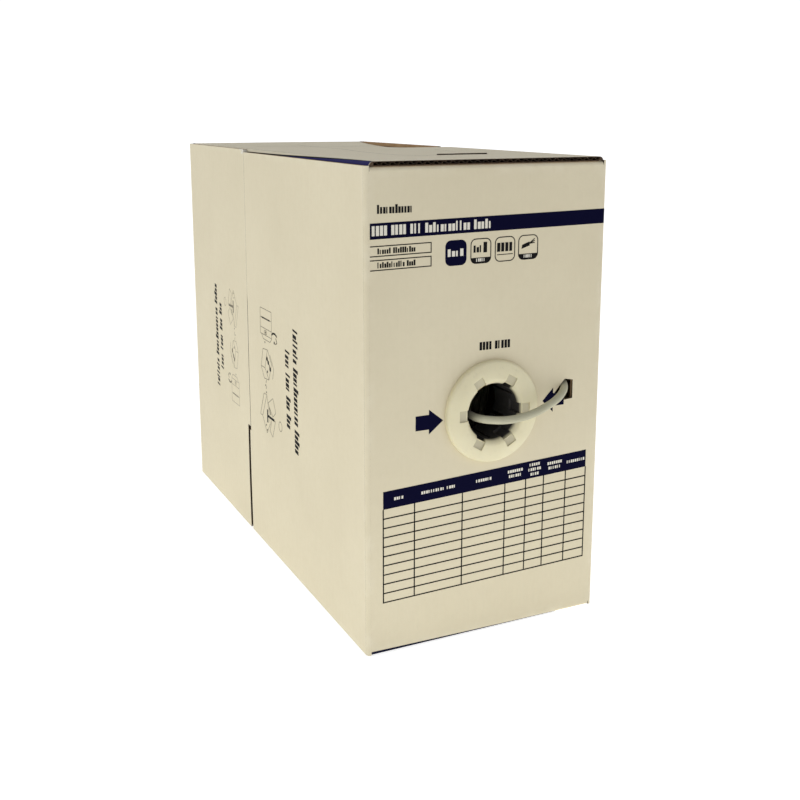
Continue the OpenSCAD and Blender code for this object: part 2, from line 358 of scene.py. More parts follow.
def rounded(u0, v0, u1, v1, r, steps=6):
    """Outline of a rectangle with round corners."""
    corners = ((u1 - r, v1 - r), (u0 + r, v1 - r), (u0 + r, v0 + r), (u1 - r, v0 + r))
    return [point for quarter, (cu, cv) in enumerate(corners)
            for point in arc(cu, cv, r, 90 * quarter, 90 * quarter + 90, steps)]


def put(name, bm, materials, body):
    """Turns a bmesh into an object that rides on a body."""
    bmesh.ops.recalc_face_normals(bm, faces=bm.faces[:])
    mesh = bpy.data.meshes.new(name)
    bm.to_mesh(mesh)
    bm.free()
    for material in materials:
        mesh.materials.append(material)
    made = new_object(name, mesh)
    if body:
        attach(made, body)
    return made


def smooth(made):
    """Shades an object smooth but for its sharp edges."""
    made.data.shade_smooth()
    made.data.set_sharp_from_angle(angle=math.radians(50))


def apply_modifiers(made):
    """Bakes an object's modifiers into its mesh."""
    bpy.context.view_layer.update()
    seen = made.evaluated_get(bpy.context.evaluated_depsgraph_get())
    mesh = bpy.data.meshes.new_from_object(seen)
    made.modifiers.clear()
    made.data = mesh


def cut(pieces, cutters):
    """Subtracts closed cutter objects from closed pieces and removes the cutters."""
    for made in pieces:
        for cutter in cutters:
            tool = made.modifiers.new("cut", "BOOLEAN")
            tool.operation, tool.solver, tool.object = "DIFFERENCE", "EXACT", cutter
    for made in pieces:
        apply_modifiers(made)
    for cutter in cutters:
        bpy.data.objects.remove(cutter)


def join(name, pieces):
    """Makes one object of several."""
    with bpy.context.temp_override(object=pieces[0], active_object=pieces[0], selected_objects=pieces,
                                   selected_editable_objects=pieces):
        bpy.ops.object.join()
    pieces[0].name = pieces[0].data.name = name
    return pieces[0]


def join_rings(bm, rings, closed=False):
    """Faces between rings of points, and caps on the two end rings unless the rings close up."""
    rings = [[bm.verts.new(point) for point in ring] for ring in rings]
    pairs = list(zip(rings, rings[1:]))
    if closed:
        pairs.append((rings[-1], rings[0]))
    for a, b in pairs:
        for j in range(len(a)):
            n = (j + 1) % len(a)
            bm.faces.new((a[j], a[n], b[n], b[j]))
    if not closed:
        bm.faces.new(rings[0])
        bm.faces.new(reversed(rings[-1]))


def grid_solid(bm, top, bottom, material=0, side=None):
    """A closed solid between two grids of points, top[i][j] and bottom[i][j]."""
    side = material if side is None else side
    rows, cols = len(top), len(top[0])
    a = [[bm.verts.new(p) for p in row] for row in top]
    b = [[bm.verts.new(p) for p in row] for row in bottom]

    def quad(*verts, index=material):
        bm.faces.new(verts).material_index = index

    for i in range(rows - 1):
        for j in range(cols - 1):
            quad(a[i][j], a[i + 1][j], a[i + 1][j + 1], a[i][j + 1])
            quad(b[i][j], b[i][j + 1], b[i + 1][j + 1], b[i + 1][j])
        for j in (0, cols - 1):
            quad(a[i][j], b[i][j], b[i + 1][j], a[i + 1][j], index=side)
    for j in range(cols - 1):
        for i in (0, rows - 1):
            quad(a[i][j], a[i][j + 1], b[i][j + 1], b[i][j], index=side)
    return a, b


# ---- boards

# A board's outer face: u and v span it, and flutes run along v
Face = namedtuple("Face", "origin u v size swell seed calm")


def make_face(origin, u, v, size, swell=0.0, seed=0, calm=None):
    return Face(Vector(origin), u, v, size, swell, seed, calm)


def relief(face, u, v):
    """How far the face stands proud at (u, v): uneven, and nothing at its edges."""
    if not face.swell:
        return 0.0
    wide, tall = face.size
    edge = math.sin(math.pi * min(max(u / wide, 0), 1)) * math.sin(math.pi * min(max(v / tall, 0), 1))
    uneven = 0.55 + 0.9 * noise.noise(Vector((u * 11, v * 11, face.seed)))
    calm = 1.0
    if face.calm:
        cu, cv, radius = face.calm
        calm = 1 - math.exp(-(((u - cu) ** 2 + (v - cv) ** 2) / radius**2) ** 2)
    return face.swell * edge * uneven * calm


def at(face, u, v, out=0.0):
    """The point at (u, v) on a face, out above it, swelling included."""
    return face.origin + face.u * u + face.v * v + face.u.cross(face.v) * (out + relief(face, u, v))


def stations(low, high):
    """Positions across a board, closer together along its edges."""
    near = [d for d in (0, 1.2 * MM, 4 * MM, 9 * MM) if d < (high - low) / 3]
    middle = max(1, round((high - low - 2 * near[-1]) / CELL))
    inner = [low + near[-1] + (high - low - 2 * near[-1]) * k / middle for k in range(1, middle)]
    return [low + d for d in near] + inner + [high - d for d in reversed(near)]


def liner(face, span, top, material, materials):
    """One liner of a board, with its distance from the edges and its (u, v) stored."""
    u0, u1, v0, v1 = span
    us, vs = stations(u0, u1), stations(v0, v1)
    bm = bmesh.new()
    edge_layer = bm.verts.layers.float.new("edge")
    uv = bm.loops.layers.uv.new("UVMap")
    layers = [[[at(face, u, v, out) for v in vs] for u in us] for out in (top, top - LINER_T)]
    a, b = grid_solid(bm, *layers, material, 1)
    for i, u in enumerate(us):
        for j, v in enumerate(vs):
            for vert in (a[i][j], b[i][j]):
                vert[edge_layer] = min(u - u0, u1 - u, v - v0, v1 - v)
                for loop in vert.link_loops:
                    loop[uv].uv = (u * UV_SCALE, v * UV_SCALE)
    return put("liner", bm, materials, None)


def fluting(face, span, materials):
    """A strip of the fluted medium between the liners."""
    u0, u1, v0, v1 = span
    count = max(2, round((u1 - u0) / FLUTE_PITCH * FLUTE_STEPS))
    swing = (BOARD_T - 2 * LINER_T - MEDIUM_T) / 2 - GLUE_GAP
    layers = [[], []]
    for k in range(count + 1):
        u = u0 + (u1 - u0) * k / count
        middle = -BOARD_T / 2 + swing * math.sin(math.tau * u / FLUTE_PITCH)
        for layer, side in zip(layers, (1, -1)):
            layer.append([at(face, u, v, middle + side * MEDIUM_T / 2) for v in (v0, v1)])
    bm = bmesh.new()
    grid_solid(bm, *layers, 1)
    return put("fluting", bm, materials, None)


def prism_cutter(face, outline):
    """A closed cutter through a board from an outline in (u, v)."""
    bm = bmesh.new()
    normal = face.u.cross(face.v)
    join_rings(bm, [[face.origin + face.u * u + face.v * v + normal * out for u, v in outline]
                    for out in (5 * MM, -BOARD_T - 5 * MM)])
    return put("cutter", bm, [FLUTING], None)


RIM = 8 * MM
LINER_LAP = 0.3 * MM
INNER_SHARE = 0.2


def board(node, body, face, span, raw="", patches=(), holes=(), outer=WHITE, slot="white_liner"):
    """Corrugated board for a CAD node: two liners, and fluting along its raw edges."""
    u0, u1, v0, v1 = span
    a0, a1, b0, b1 = u0 + LINER_LAP, u1 - LINER_LAP, v0 + LINER_LAP, v1 - LINER_LAP
    strips = {"a": (a0, u0 + RIM, b0, b1), "b": (u1 - RIM, a1, b0, b1),
              "c": (a0, a1, b0, v0 + RIM), "d": (a0, a1, v1 - RIM, b1)}
    materials = [outer, FLUTING, KRAFT]
    pieces = [liner(face, span, 0, 0, materials), liner(face, span, LINER_T - BOARD_T, 2, materials)]
    pieces += [fluting(face, strip, materials) for strip in [strips[key] for key in raw] + list(patches)]
    if holes:
        cut(pieces, [prism_cutter(face, outline) for outline in holes])
    made = join(f"{node}_board", pieces)
    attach(made, body)
    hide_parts(node)
    return made


def fold(bm, centre, axis, length, start, end, rows=14):
    """A rounded fold: a quarter ring of board round centre, from start to end, along axis."""
    layers = [[], []]
    pieces = max(2, round(length / (20 * MM)))
    for k in range(rows + 1):
        way = turn(start, end, math.pi / 2 * k / rows)
        for layer, share in zip(layers, (1, INNER_SHARE)):
            spot = centre + way * BOARD_T * share
            layer.append([spot + axis * length * j / pieces for j in range(pieces + 1)])
    grid_solid(bm, *layers, 0, 1)


def box_outline(u0, u1, v0, v1):
    return [(u0, v0), (u1, v0), (u1, v1), (u0, v1)]


def node_span(node, face):
    """A node's box as u0, u1, v0, v1 on a face."""
    ends = [end - face.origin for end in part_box(node)]
    return [place for way in (face.u, face.v) for place in sorted(end.dot(way) for end in ends)]


FULL_D, FULL_W = REAR_Y - FRONT_Y, 2 * HALF_W
FRONT = make_face((-HALF_W, FRONT_Y, 0), X, Z, (FULL_W, BOX_H), 0.5 * MM, 1,
                  (COLLAR_AT.x + HALF_W, COLLAR_AT.z, 70 * MM))
REAR = make_face((HALF_W, REAR_Y, 0), -X, Z, (FULL_W, BOX_H), 1.0 * MM, 2)
LEFT = make_face((-HALF_W, REAR_Y, 0), -Y, Z, (FULL_D, BOX_H), 0.9 * MM, 3)
RIGHT = make_face((HALF_W, FRONT_Y, 0), Y, Z, (FULL_D, BOX_H), 0.9 * MM, 4)
TOP = make_face((-HALF_W, FRONT_Y, BOX_H), X, Y, (FULL_W, FULL_D), 0.8 * MM, 5)
BOTTOM = make_face((HALF_W, FRONT_Y, 0), -X, Y, (FULL_W, FULL_D))

# Places on the boards, and the tuck hole's corners in millimetres from its middle
TUCK_AT = (70 * MM + HALF_W, 193.5 * MM)
TUCK_HOLE = [(-9, -1), (0.5, 9.5), (8.3, 8), (8.3, -7.5), (-7, -8.5)]
COLLAR_HOLE_R = 26 * MM
SLIT_AT, SLIT_LEN, SLIT_ENDS = (16 * MM + HALF_W, 75 * MM), 47 * MM, (0.6 * MM, 1.5 * MM)
STEP_Z, STEP_Y, NOTCH_H = 105 * MM, 3 * MM, 4 * MM
SEAM_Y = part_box("left_front_flap")[1].y - STEP_Y
SIDES = (("left", -1), ("right", 1))
SEAM_GAP, SLOT_W, RELIEF_W = 1.2 * MM, 6 * MM, 24 * MM
SEAM_SHUT, SEAM_SHUT_Z, SEAM_TAPER = 0.9 * MM, 238 * MM, 4 * MM
FOLD_LAP = 0.5 * MM
SAG, SAG_FROM, SAG_TO, SAG_DEPTH = 5.2 * MM, 250 * MM, 480 * MM, 38 * MM


def sag(made):
    """Lets the top and what joins it droop along the right edge, towards the rear."""
    for vert in made.data.vertices:
        along = (vert.co.y - FRONT_Y - SAG_FROM) / (SAG_TO - SAG_FROM)
        if 0 < along < 1 and vert.co.x > 0:
            across = min(vert.co.x / WALL_X, 1) ** 1.5
            high = min(max((vert.co.z - BOX_H) / SAG_DEPTH + 1.1, 0), 1)
            vert.co.z -= SAG * math.sin(math.pi * along) ** 0.8 * across * high


def wall_boards():
    """Front, rear, top, bottom and the glue tab."""
    u, v = TUCK_AT
    tuck = [(u + du * MM, v + dv * MM) for du, dv in TUCK_HOLE]
    hole = circle(COLLAR_AT.x + HALF_W, COLLAR_AT.z, COLLAR_HOLE_R)
    low, high, base, top = node_span("front_panel", FRONT)
    board("front_panel", "carton", FRONT, (low - FOLD_LAP, high + FOLD_LAP, base, top - BOARD_T),
          patches=[(u - 14 * MM, u + 14 * MM, v - 13 * MM, v + 14 * MM)], holes=[tuck, hole])
    low, high, base, top = node_span("rear_panel", REAR)
    board("rear_panel", "carton", REAR, (low - FOLD_LAP, high + FOLD_LAP, base, top))
    u, v = SLIT_AT
    a, b = u - SLIT_LEN / 2, u + SLIT_LEN / 2
    slit = [(a, v - SLIT_ENDS[0]), (b, v - SLIT_ENDS[1]), (b, v + SLIT_ENDS[1]), (a, v + SLIT_ENDS[0])]
    low, high, front, rear = node_span("top_panel", TOP)
    sag(board("top_panel", "carton", TOP, (low + BOARD_T, high - BOARD_T, front, rear - BOARD_T), "c",
              [(a - 4 * MM, b + 4 * MM, v - 4 * MM, v + 4 * MM)], [slit]))
    low, high, front, rear = node_span("bottom_panel", BOTTOM)
    board("bottom_panel", "carton", BOTTOM, (low + BOARD_T, high - BOARD_T, front + BOARD_T, rear - BOARD_T))
    tab = make_face((-HALF_W, FRONT_Y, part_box("glue_tab")[1].z), X, Y, (FULL_W, FULL_D))
    board("glue_tab", "carton", tab, node_span("glue_tab", tab), "d", outer=KRAFT, slot="kraft_board")


def inner_flap(side, sign, level, seam):
    """One inner flap. The lower one has a slot behind the outer flaps' seam."""
    node = f"{side}_{level}_flap"
    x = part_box(node)[0 if sign < 0 else 1].x
    face = make_face((x, FRONT_Y, 0), Z * -sign, Y, (BOX_H, FULL_D))
    span = node_span(node, face)
    holes = []
    if level == "bottom":
        ends = (4 * BOARD_T, span[1] + 5 * MM) if sign < 0 else (span[0] - 5 * MM, -4 * BOARD_T)
        holes = [box_outline(*ends, seam - RELIEF_W / 2, seam + RELIEF_W / 2)]
    made = board(node, "carton", face, span, "ab" if level == "top" else "", holes=holes)
    if node == "right_top_flap":
        sag(made)


def insert_board(side, sign):
    """The insert that carries the axle tube's end."""
    node = f"insert_{side}"
    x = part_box(node)[0 if sign < 0 else 1].x
    face = make_face((x, FRONT_Y, 0), Y * sign, Z, (FULL_D, BOX_H))
    lo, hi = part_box("axle_tube")
    centre, radius = (lo + hi) / 2, (hi.z - lo.z) / 2
    hole = circle((centre - face.origin).dot(face.u), centre.z, radius + 0.1 * MM)
    board(node, "carton", face, node_span(node, face), "cd", holes=[hole], outer=KRAFT, slot="kraft_board")


def inner_boards():
    seam = SEAM_Y + STEP_Y - FRONT_Y
    for side, sign in SIDES:
        for level in ("top", "bottom"):
            inner_flap(side, sign, level, seam)
        insert_board(side, sign)


def outer_flap(node, face, ys, zs, step, patch, free):
    """One outer flap from its stretch of y and z, the step cut out of it and its free end."""

    def across(y):
        return (y - face.origin.y) * face.u.y

    span = (*sorted(across(y) for y in ys), *zs)
    strip = (*sorted(across(y) for y in patch[:2]), *patch[2:])
    board(node, node, face, span, free + "cd", [strip], [[(across(y), z) for y, z in step]])


def flap_boards():
    """The four outer flaps, with the jog in each seam."""
    for side, face, ends in (("left", LEFT, "ab"), ("right", RIGHT, "ba")):
        lo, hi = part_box(f"{side}_front_flap")
        far = hi.y + MM
        shut = SEAM_Y + SEAM_SHUT
        step = [(far, STEP_Z), (SEAM_Y, STEP_Z), (SEAM_Y, SEAM_SHUT_Z - SEAM_TAPER),
                (shut, SEAM_SHUT_Z + SEAM_TAPER), (shut, BOX_H), (far, BOX_H)]
        outer_flap(f"{side}_front_flap", face, (FRONT_Y + BOARD_T - FOLD_LAP, hi.y), (lo.z, hi.z), step,
                   (SEAM_Y - RIM, SEAM_Y, STEP_Z, hi.z), ends[0])
        lo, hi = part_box(f"{side}_rear_flap")
        near, low_edge, notch = SEAM_Y + SEAM_GAP, SEAM_Y + STEP_Y + SLOT_W, STEP_Z + NOTCH_H
        step = [(near - MM, -MM), (low_edge, -MM), (low_edge, notch), (near - MM, notch)]
        outer_flap(f"{side}_rear_flap", face, (near, REAR_Y - BOARD_T + FOLD_LAP), (lo.z, hi.z), step,
                   (low_edge, low_edge + RIM, lo.z, STEP_Z), ends[1])


def static_folds():
    """Rounded folds between boards that don't move."""
    bm = bmesh.new()
    r = BOARD_T
    left, wide = -WALL_X, 2 * WALL_X
    front, rear, top = FRONT_Y + r, REAR_Y - r, BOX_H - r
    for y, z, out, over in ((front, r, -Y, -Z), (rear, r, -Z, Y), (rear, top, Y, Z), (front, top - r, -Y, Z)):
        fold(bm, Vector((left, y, z)), X, wide, out, over)
    for sign in (-1, 1):
        for y, z, over in ((TOP_LO.y, top, Z), (front, r, -Z)):
            fold(bm, Vector((sign * (WALL_X - r), y, z)), Y, rear - y, X * sign, over)
    sag(put("carton_folds", bm, [WHITE, FLUTING], "carton"))


def hinge_folds():
    """The vertical folds that the outer flaps turn on, bent between wall and flap."""
    for side, sx in SIDES:
        for end, y, sy in (("front", FRONT_Y, -1), ("rear", REAR_Y, 1)):
            flap = f"{side}_{end}_flap"
            lo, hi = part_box(flap)
            centre = Vector((sx * (HALF_W - BOARD_T), y - sy * BOARD_T, lo.z))
            bm = bmesh.new()
            fold(bm, centre, Z, hi.z - lo.z, Y * sy, X * sx)
            made = put(f"{side}_{end}_fold", bm, [WHITE, FLUTING], None)
            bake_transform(made)


# ---- print


def straight(u, v):
    return u, v


class Print:
    """Ink in one colour: flat closed shapes in millimetres, bent to the board when they are laid."""

    def __init__(self, place=straight):
        self.bm = bmesh.new()
        self.place = place

    def ring(self, outline, height):
        return [(*self.place(u, v), height) for u, v in outline]

    def shape(self, outline, out=1):
        join_rings(self.bm, [self.ring(outline, h) for h in (INK * out / MM, -UNDER / MM)])

    def bar(self, u0, v0, u1, v1, out=1):
        self.shape(box_outline(u0, u1, v0, v1), out)

    def frame(self, u0, v0, u1, v1, r, line, out=1):
        """The outline of a rectangle with round corners."""
        outer = rounded(u0, v0, u1, v1, r)
        inner = rounded(u0 + line, v0 + line, u1 - line, v1 - line, max(r - line, 0.1))
        top, low = INK * out / MM, -UNDER / MM
        sides = [self.ring(*pair) for pair in ((outer, top), (inner, top), (inner, low), (outer, low))]
        join_rings(self.bm, list(zip(*sides)), True)

    def stroke(self, points, width, out=1):
        """A line through points, as one overlapping bar for each stretch."""
        for (ua, va), (ub, vb) in zip(points, points[1:]):
            length = math.hypot(ub - ua, vb - va)
            nu, nv = -(vb - va) / length * width / 2, (ub - ua) / length * width / 2
            self.shape([(ua + nu, va + nv), (ua - nu, va - nv), (ub - nu, vb - nv), (ub + nu, vb + nv)], out)

    def words(self, u, v, length, height, counts, seed, out=1, caps=0, lean=0.0):
        """A row of plain blocks that stands for a line of words, the first ones in capitals."""
        rng = random.Random(seed)
        step = length / (sum(counts) + 0.8 * (len(counts) - 1))
        for index, count in enumerate(counts):
            for k in range(count):
                tall = height if index < caps or k == 0 or rng.random() < 0.2 else height * 0.74
                wide = step * rng.choice((0.42, 0.68, 0.74, 0.78))
                tip = tall * lean
                self.shape([(u, v), (u + wide, v), (u + wide + tip, v + tall), (u + tip, v + tall)], out)
                u += step
            u += step * 0.8

    def arrow(self, tip_u, tip_v, way, head, half, shaft, thick):
        neck, tail = tip_u - way * head, tip_u - way * (head + shaft)
        self.shape([(tip_u, tip_v), (neck, tip_v + half), (neck, tip_v + thick), (tail, tip_v + thick),
                    (tail, tip_v - thick), (neck, tip_v - thick), (neck, tip_v - half)])

    def lay(self, name, face, material, body):
        """Cuts the shapes where the board bends, and lays them on it."""
        for axis in (0, 1):
            places = [vert.co[axis] * MM for vert in self.bm.verts]
            for k in range(math.ceil(min(places) / CELL), math.floor(max(places) / CELL) + 1):
                where, way = Vector(), Vector()
                where[axis], way[axis] = k * CELL / MM, 1
                parts = self.bm.verts[:] + self.bm.edges[:] + self.bm.faces[:]
                bmesh.ops.bisect_plane(self.bm, geom=parts, dist=1e-4, plane_co=where, plane_no=way)
        for vert in self.bm.verts:
            vert.co = at(face, *(vert.co * MM))
        return put(name, self.bm, [material], body)


def uphill(u, v):
    """Print that runs slightly uphill, as the band and what hangs on it do."""
    return u, v + u * 0.0145


BAND = (3.9, 324.4, 206.5, 336.0)
ICON_TOP, ICON_H, ICON_W, ICON_R = 319.6, 19.2, 18.0, 4.6
ICONS_AT = (65.2, 86.6, 107.8, 128.6)
LABELS = ((319.6, (6, 10)), (309.4, (12, 4)))
LABEL_H, LABEL_END = 8.0, 53.7
TABLE_COLUMNS = (13.7, 40.2, 82.1, 120.9, 140.4, 157.5, 178.9, 198.7)
TABLE_TOP, TABLE_BOTTOM = (132.5, 140.0), (42.5, 46.3)
TABLE_H = TABLE_TOP[0] - TABLE_BOTTOM[0]
TABLE_ROWS = 10
HEADER_SHARE = 0.157
HEADER_WORDS = (((4,),), ((10, 4),), ((7,),), ((7,), (6,)), ((5,), (6,), (4,)), ((7,), (6,)), ((9,),))
HEADER_STEP, HEADER_LINE, HEADER_H = 2.05, 3.9, 2.3
RULE, TABLE_RULE = 0.75, 1.0


def table(u, v):
    """Table heights run from 0 at its foot to 1 at its top, and its edges aren't parallel."""
    share = (u - TABLE_COLUMNS[0]) / (TABLE_COLUMNS[-1] - TABLE_COLUMNS[0])
    low = TABLE_BOTTOM[0] + (TABLE_BOTTOM[1] - TABLE_BOTTOM[0]) * share
    high = TABLE_TOP[0] + (TABLE_TOP[1] - TABLE_TOP[0]) * share
    return u, low + (high - low) * v


def front_navy():
    p = Print(uphill)
    p.bar(*BAND)
    p.shape(rounded(ICONS_AT[0], ICON_TOP - ICON_H, ICONS_AT[0] + ICON_W, ICON_TOP, ICON_R))
    p.place = straight
    p.arrow(64.5, 182.5, 1, 12.2, 9.8, 11.4, 5.8)
    p.arrow(154.6, 186.8, -1, 10, 10, 10.5, 5.2)
    p.place = table
    p.bar(TABLE_COLUMNS[0], 1 - HEADER_SHARE, TABLE_COLUMNS[-1], 1)
    p.lay("front_print_navy", FRONT, NAVY_AND_SHADOW, "carton")


def plug_icon(p, u):
    """A cable end with fanned wires, in the last icon."""
    top = ICON_TOP
    p.shape([(u + 3.0, top - 10.6), (u + 3.4, top - 7.6), (u + 10.0, top - 5.4), (u + 10.4, top - 8.4)])
    for rise in (0.2, 1.8, 3.4):
        p.stroke([(u + 9.8, top - 6.9), (u + 14.8, top - 6.6 + rise)], 0.7)


def icons(p):
    low = ICON_TOP - ICON_H
    for index, u in enumerate(ICONS_AT[1:]):
        p.frame(u, low, u + ICON_W, ICON_TOP, ICON_R, RULE)
        if index != 1:
            body = rounded(u + 0.3, low + 0.3, u + ICON_W - 0.3, ICON_TOP, ICON_R - 0.3, 8)
            p.shape([point for point in body if point[1] < low + 5.2], 1.1)
    second, third, fourth = ICONS_AT[1:]
    p.words(second + 2.6, ICON_TOP - 10.6, 8, 5.4, (3,), 8)
    p.words(second + 11.2, ICON_TOP - 11, 4.6, 8, (1,), 8)
    p.words(third + 2, ICON_TOP - 11.4, 14.4, 6.8, (4,), 9, caps=1)
    p.bar(third + 2, ICON_TOP - 14, third + 16, ICON_TOP - 13.4)
    plug_icon(p, fourth)


def front_lines():
    p = Print()
    p.words(9.6, 342.8, 29, 6.4, (12,), 3)
    p.words(95.8, 234.2, 28, 6.4, (4, 5), 12, caps=2)
    p.place = uphill
    for top, counts in LABELS:
        for low in (top - RULE, top - LABEL_H):
            p.bar(BAND[0], low, LABEL_END, low + RULE)
        p.bar(LABEL_END - RULE, top - LABEL_H, LABEL_END, top)
        p.words(9.8, top - 6.1, 31, 4.2, counts, int(top))
    icons(p)
    p.place = table
    half = TABLE_RULE / 2 / TABLE_H
    for row in range(TABLE_ROWS):
        v = row * (1 - HEADER_SHARE) / TABLE_ROWS
        p.bar(TABLE_COLUMNS[0], v - half, TABLE_COLUMNS[-1], v + half)
    for u in TABLE_COLUMNS:
        p.bar(u - TABLE_RULE / 2, -half, u + TABLE_RULE / 2, 1 - HEADER_SHARE, 0.9)
    p.lay("front_print_lines", FRONT, LINE_AND_SHADOW, "carton")


def front_pale():
    p = Print(uphill)
    p.words(5.4, 326.8, 100, 7.2, (4, 4, 3, 12, 5), 21, 2, caps=3)
    p.words(ICONS_AT[0] + 2, ICON_TOP - 12.2, 14, 5.6, (4,), 4, 2)
    for u in (ICONS_AT[1], ICONS_AT[3]):
        p.words(u + 5, ICON_TOP - ICON_H + 1.6, 8, 2.4, (5,), 6, 2.1, caps=1)
    p.place = table
    columns = list(zip(TABLE_COLUMNS, TABLE_COLUMNS[1:]))
    for index, ((left, right), lines) in enumerate(zip(columns, HEADER_WORDS)):
        for n, counts in enumerate(lines):
            length = min((right - left) * 0.9, (sum(counts) + 0.8 * (len(counts) - 1)) * HEADER_STEP)
            middle = 1 - HEADER_SHARE / 2 + (len(lines) / 2 - n - 0.5) * HEADER_LINE / TABLE_H
            p.words((left + right - length) / 2, middle - HEADER_H / 2 / TABLE_H, length, HEADER_H / TABLE_H,
                    counts, index * 7 + n, 2, len(counts))
    p.lay("front_print_pale", FRONT, PALE, "carton")


def side_words(p):
    p.words(0, 88, 112, 11.6, (7, 12, 5), 31, lean=0.12)
    p.words(22, 68, 72, 11.2, (4, 4, 3, 3), 32, lean=0.12)


# The side's three small drawings of a box being opened and its cable led out, in millimetres.
# A bold line starts with its width, and a row of dots with their radius.
FRAMES = ((-5, 0.5, 20, 33, 0.8), (14.8, 12, 19, 19, 1.8), (93.4, 46, 102.8, 55, 4.4))
THIN, THIN_LINES = 0.55, (
    ((4, 0.5), (4, 33)), ((13.5, 0.5), (13.5, 33)), ((20, 4), (24, 9), (24, 28), (20, 33)),
    ((32.7, 19.7), (33.8, 6.7), (51.6, 0.2), (62, 8.1), (61, 21.6), (51.6, 11), (32.7, 19.7)),
    ((51.6, 0.2), (51.6, 11)), ((32.7, 19.7), (44, 30), (61, 21.6)), ((36, 26), (48, 36), (58, 32)),
    ((76.5, 31), (88.7, 38.4), (94.8, 29.7), (84.3, 16.8), (76.5, 31)),
    ((97, 36.9), (114.2, 29), (110.3, 21.1), (98.1, 26.8), (97, 36.9)),
    ((77, 13.9), (100.3, 0.5), (114.7, 12.5), (103, 22), (77, 13.9)),
    ((77, 13.9), (77, 6), (100.3, -6), (100.3, 0.5)))
TICK, TICKS = 0.9, (((62.5, 14), (65.5, 13)), ((68.5, 14), (71.5, 13)))
BOLD_LINES = (
    (1.3, (4, 5), (4, 28)), (1.7, (15.5, 47), (13.6, 42), (14, 36), (16, 33)),
    (0.9, (17, 44), (21, 47), (23, 43)), (1.4, (41.6, 17.8), (47, 24), (50, 26)),
    (2.4, (97, 34), (97, 16)), (2.6, (90.9, 15), (103.7, 15)), (1.2, (88, 20), (94, 24)))
DOTS = (
    (1.4, (22.2, 39.8)), (1.1, (17, 15.5)), (2.2, (41.6, 17.8)), (2.0, (44.5, 21)), (2.3, (50, 26)),
    (1.3, (54, 18)), (0.9, (26.6, 13.2), (68.2, 11.7), (74.8, 13.2), (107, 11), (111.4, 13.2)))


def side_drawings(p):
    for corners in FRAMES:
        p.frame(*corners, THIN)
    for width, lines in ((THIN, THIN_LINES), (TICK, TICKS)):
        for line in lines:
            p.stroke(line, width)


def side_marks(p):
    for width, *line in BOLD_LINES:
        p.stroke(line, width)
    for radius, *spots in DOTS:
        for u, v in spots:
            p.shape(circle(u, v, radius, 16))


# Where the side's two prints start, in millimetres from the front or rear fold and from the floor
FORWARD_AT, BACKWARD_AT, BACKWARD_SCALE = (243, 231), (163, 125), (0.8, 0.99)


def side_print():
    """The printed blocks on the two left flaps, each with its letters' tops outwards."""

    def forward(u, v):
        return FULL_D / MM - FORWARD_AT[0] + v, FORWARD_AT[1] - u

    def backward(u, v):
        return BACKWARD_AT[0] - v * BACKWARD_SCALE[0], BACKWARD_AT[1] + u * BACKWARD_SCALE[1]

    for flap, place, thin, bold in (("left_front", forward, FAINT, LINE_AND_SHADOW),
                                    ("left_rear", backward, CREASE_SHADE_AND_PRINT, FAINT)):
        parts = (("drawings", side_drawings, thin), ("marks", side_marks, bold), ("print", side_words, LINE_AND_SHADOW))
        for part, draw, material in parts:
            p = Print(place)
            draw(p)
            p.lay(f"{flap}_{part}", LEFT, material, f"{flap}_flap")


# Each crease, painted as a darker strip of shade, is its width and its line. The lip's points are ends of the
# slit, and distances across it.
CREASES = ((0.9, ((85, 368), (76, 300), (76, 230), (69, 165), (66, 114), (70, 88), (82, 70), (98, 76))),
           (1.3, ((30, 335), (79, 313), (129, 307), (150, 305))), (0.9, ((153, 186), (149, 139))))
SLIT_LIP, LIP_HEIGHT = ((-1, 0.7), (1, 1.6), (1, 2.6), (-1, 1.2)), 10


def top_creases():
    """Handling creases in the top, as raised strips of painted crease shade, and the raised raw edge of its
    slit.
    """
    p = Print()
    for width, line in CREASES:
        p.stroke(line, width, 0.5)
    p.lay("top_creases", TOP, CREASE_SHADE_AND_PRINT, "carton")
    p = Print()
    u, v, half = SLIT_AT[0] / MM, SLIT_AT[1] / MM, SLIT_LEN / MM / 2
    p.shape([(u + half * end, v + across) for end, across in SLIT_LIP], LIP_HEIGHT)
    p.lay("top_slit_lip", TOP, FLUTING, "carton")


def fold_strip(name, start, along, length, out, over, reach, material, lift=1, body="carton"):
    """A strip that runs over a fold, used for print and for painted shadow. reach gives its two angles for
    each share of the length.
    """
    pieces, steps = 14, 8
    layers = []
    for radius in (BOARD_T + INK * lift, BOARD_T - UNDER):
        rows = []
        for k in range(pieces + 1):
            low, high = (math.radians(a) for a in reach(k / pieces))
            angles = [low + (high - low) * j / steps for j in range(steps + 1)]
            spot = start + along * (length * k / pieces)
            rows.append([spot + turn(out, over, a) * radius for a in angles])
        layers.append(rows)
    bm = bmesh.new()
    grid_solid(bm, *layers)
    return put(name, bm, [material], body)


# How far the print and the painted shadows on a fold reach round it, in degrees, and the power that the wedge
# narrows by
WEDGE_RISE, WEDGE_LEAST, SHADOW_ARC, FOOT_FROM, FOOT_TO = 74, 3, 18, 46, 80
WEDGE_POWER = 1.8
FOOT_LEN = 170 * MM
SHADOW_LIFT = 1.6


